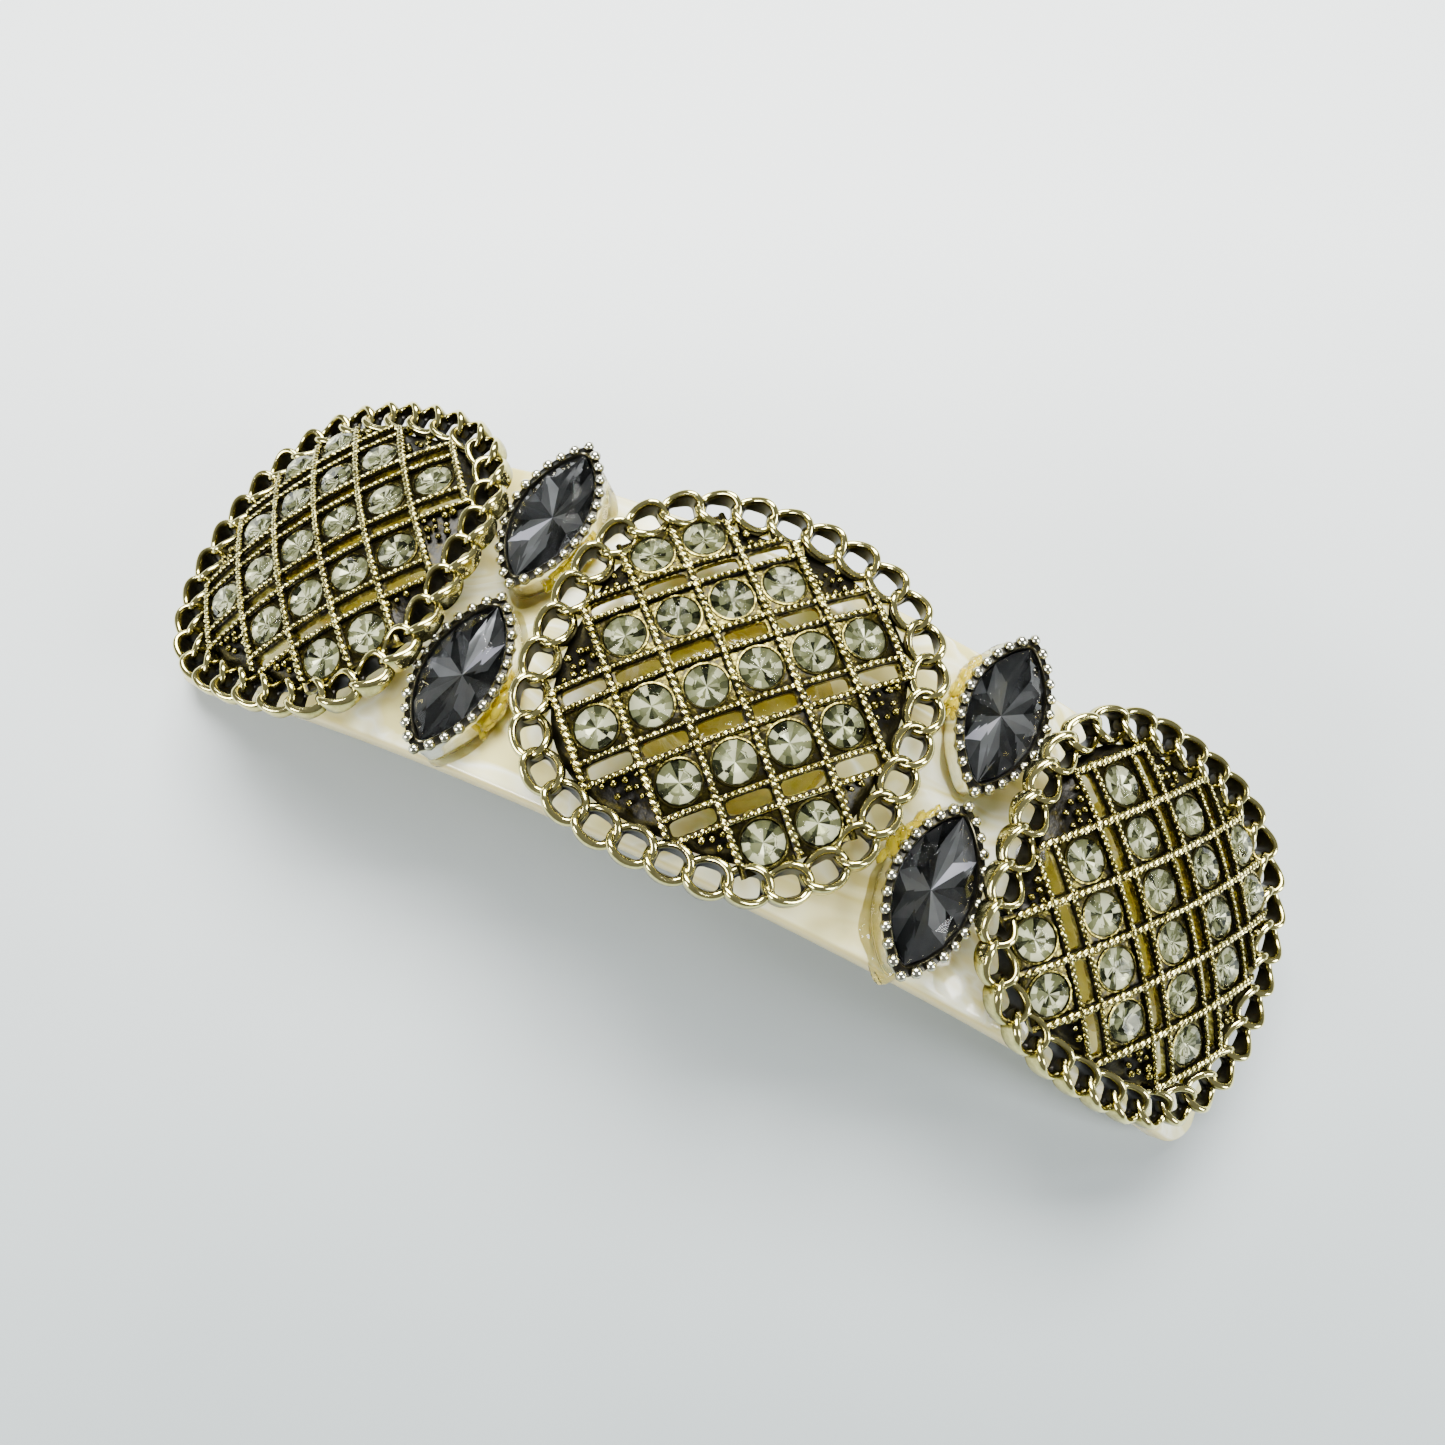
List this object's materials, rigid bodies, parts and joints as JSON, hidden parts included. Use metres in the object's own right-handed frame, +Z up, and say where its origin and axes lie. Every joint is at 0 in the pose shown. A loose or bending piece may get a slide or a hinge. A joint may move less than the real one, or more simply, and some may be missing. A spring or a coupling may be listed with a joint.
{
  "type": "hair clip",
  "caption": "Arched hair clip: a pearly plate with openwork jewelled domes and marquise stones on a hinged, latching steel clasp that grips a lock of hair.",
  "frame": {"origin": "on the plane of the two flats under the plate's ends, below the middle of the clip", "axes": "+X along the clip towards the catch end, +Y across it towards the back edge, +Z up through the domes"},
  "size_m": [0.1182, 0.0362, 0.0321],
  "materials": {
    "acetate": "polished pearly cellulose acetate",
    "antique_gold": "antiqued gold plate with blackened recesses",
    "antique_silver": "antiqued pale gold plate with blackened recesses",
    "clear_glass": "faceted, foil backed, faintly smoky",
    "grey_glass": "faceted, foil backed, smoky grey",
    "adhesive": "clear yellowish adhesive",
    "plated_steel": "nickel plated, satin",
    "spring_steel": "tempered spring steel, nickel plated"
  },
  "bodies": {
    "plate_assembly": {"acetate_plate": "acetate", "dome_left": "antique_gold", "dome_centre": "antique_gold", "dome_right": "antique_gold", "dome_glue_left": "adhesive", "dome_glue_centre": "adhesive", "dome_glue_right": "adhesive", "bezel_left_front": "antique_silver", "bezel_left_back": "antique_silver", "bezel_right_front": "antique_silver", "bezel_right_back": "antique_silver", "marquise_left_front": "grey_glass", "marquise_left_back": "grey_glass", "marquise_right_front": "grey_glass", "marquise_right_back": "grey_glass", "bezel_glue_left_front": "adhesive", "bezel_glue_left_back": "adhesive", "bezel_glue_right_front": "adhesive", "bezel_glue_right_back": "adhesive", "back_bar": "plated_steel", "rivet_left": "plated_steel", "rivet_right": "plated_steel", "hinge_bracket": "plated_steel", "hinge_pin": "plated_steel", "tension_spring": "spring_steel", "catch_bracket": "plated_steel"},
    "arm": {"clasp_arm": "plated_steel"},
    "front_tab": {"catch_tab_front": "spring_steel"},
    "back_tab": {"catch_tab_back": "spring_steel"}
  },
  "joints": [
    {"name": "arm_hinge", "type": "hinge", "parent": "plate_assembly", "child": "arm", "pos_m": [-0.041, 0, 0.00642], "axis": [0, 1, 0], "range_deg": [0, 75]},
    {"name": "front_tab_flex", "type": "hinge", "parent": "plate_assembly", "child": "front_tab", "pos_m": [0.03779, -0.001, 0.00954], "axis": [0.9507, 0, -0.31], "range_deg": [0, 10], "stiffness_Nm_per_rad": 0.02},
    {"name": "back_tab_flex", "type": "hinge", "parent": "plate_assembly", "child": "back_tab", "pos_m": [0.03779, 0.001, 0.00954], "axis": [-0.9507, 0, 0.31], "range_deg": [0, 10], "stiffness_Nm_per_rad": 0.02}
  ]
}
